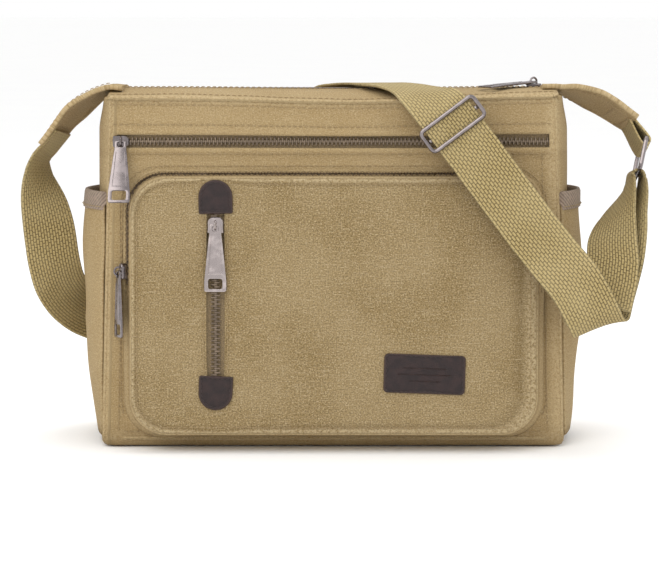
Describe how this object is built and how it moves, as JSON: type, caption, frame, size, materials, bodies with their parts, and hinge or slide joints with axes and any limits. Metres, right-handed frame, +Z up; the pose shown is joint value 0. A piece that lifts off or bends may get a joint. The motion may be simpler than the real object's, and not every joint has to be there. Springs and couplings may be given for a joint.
{
  "type": "messenger bag",
  "caption": "Canvas messenger bag with zipped top, long front zip, raised zipped front pocket, side slip pockets and an adjustable webbing shoulder strap.",
  "frame": {"origin": "centre of the flat base", "axes": "+X along the width, to the right of someone facing the front; the front faces -Y; +Z up"},
  "size_m": [0.4571, 0.1723, 0.2687],
  "materials": {
    "canvas": "matte",
    "webbing": "matte",
    "lining_cloth": "matte",
    "zip_tape": "matte",
    "binding": "matte",
    "leather": "satin",
    "gunmetal": "satin",
    "zip_metal": "satin"
  },
  "bodies": {
    "bag": {"back_panel": "canvas", "base_panel": "canvas", "face_zip_chain": "zip_metal", "face_zip_pouch": "lining_cloth", "face_zip_tape_a": "zip_tape", "face_zip_tape_b": "zip_tape", "front_panel": "canvas", "front_yoke": "canvas", "front_zip_chain": "zip_metal", "front_zip_pouch": "lining_cloth", "front_zip_tape_a": "zip_tape", "front_zip_tape_b": "zip_tape", "label": "leather", "left_ear": "canvas", "left_gusset": "canvas", "left_pocket_binding": "binding", "left_side_pocket": "canvas", "lining": "lining_cloth", "lower_zip_tab": "leather", "main_zip_chain": "zip_metal", "main_zip_tape_a": "zip_tape", "main_zip_tape_b": "zip_tape", "pocket_face": "canvas", "pocket_piping": "canvas", "pocket_wall": "canvas", "pocket_zip_chain": "zip_metal", "right_ear": "canvas", "right_gusset": "canvas", "right_pocket_binding": "binding", "right_side_pocket": "canvas", "ring_loop": "canvas", "strap_back_run": "webbing", "strap_front_run": "webbing", "strap_left_drop": "webbing", "strap_lower_fold": "webbing", "strap_return_run": "webbing", "strap_ring_turn": "webbing", "strap_top_run": "webbing", "top_back_strip": "canvas", "top_front_strip": "canvas", "upper_zip_tab": "leather"},
    "main_zip_slider": {"main_zip_slider": "gunmetal"},
    "main_zip_pull": {"main_zip_pull": "gunmetal"},
    "front_zip_slider": {"front_zip_slider": "gunmetal"},
    "front_zip_pull": {"front_zip_pull": "gunmetal"},
    "face_zip_slider": {"face_zip_slider": "gunmetal"},
    "face_zip_pull": {"face_zip_pull": "gunmetal"},
    "pocket_zip_slider": {"pocket_zip_slider": "gunmetal"},
    "pocket_zip_pull": {"pocket_zip_pull": "gunmetal"},
    "adjuster": {"strap_adjuster": "gunmetal"},
    "ring": {"strap_ring": "gunmetal"}
  },
  "joints": [
    {"name": "main_zip_slide", "type": "slide", "parent": "bag", "child": "main_zip_slider", "axis": [-1, 0, 0], "range_m": [0, 0.255]},
    {"name": "main_zip_pull_swing", "type": "hinge", "parent": "main_zip_slider", "child": "main_zip_pull", "pos_m": [0.146, 0, 0.2596], "axis": [-0.6, 0.8, 0], "range_deg": [0, 150]},
    {"name": "front_zip_slide", "type": "slide", "parent": "bag", "child": "front_zip_slider", "axis": [1, 0, 0], "range_m": [0, 0.3]},
    {"name": "front_zip_pull_swing", "type": "hinge", "parent": "front_zip_slider", "child": "front_zip_pull", "pos_m": [-0.1505, -0.04951, 0.21896], "axis": [-1, 0, 0], "range_deg": [-15, 140]},
    {"name": "face_zip_slide", "type": "slide", "parent": "bag", "child": "face_zip_slider", "axis": [0, -0.112, -0.9937], "range_m": [0, 0.094]},
    {"name": "face_zip_pull_swing", "type": "hinge", "parent": "face_zip_slider", "child": "face_zip_pull", "pos_m": [-0.083, -0.06625, 0.16094], "axis": [-1, 0, 0], "range_deg": [0, 160]},
    {"name": "pocket_zip_slide", "type": "slide", "parent": "bag", "child": "pocket_zip_slider", "axis": [0, 0.0717, 0.9974], "range_m": [0, 0.036]},
    {"name": "pocket_zip_pull_swing", "type": "hinge", "parent": "pocket_zip_slider", "child": "pocket_zip_pull", "pos_m": [-0.1524, -0.05831, 0.12729], "axis": [-0.4014, 0.9135, -0.0657], "range_deg": [0, 150]},
    {"name": "adjuster_slide", "type": "slide", "parent": "bag", "child": "adjuster", "axis": [0.5899, -0.19, -0.7848], "range_m": [0, 0.07]},
    {"name": "ring_swing", "type": "hinge", "parent": "bag", "child": "ring", "pos_m": [0.226, 0, 0.213], "axis": [0, 0.944, -0.33], "range_deg": [-4, 4]}
  ]
}
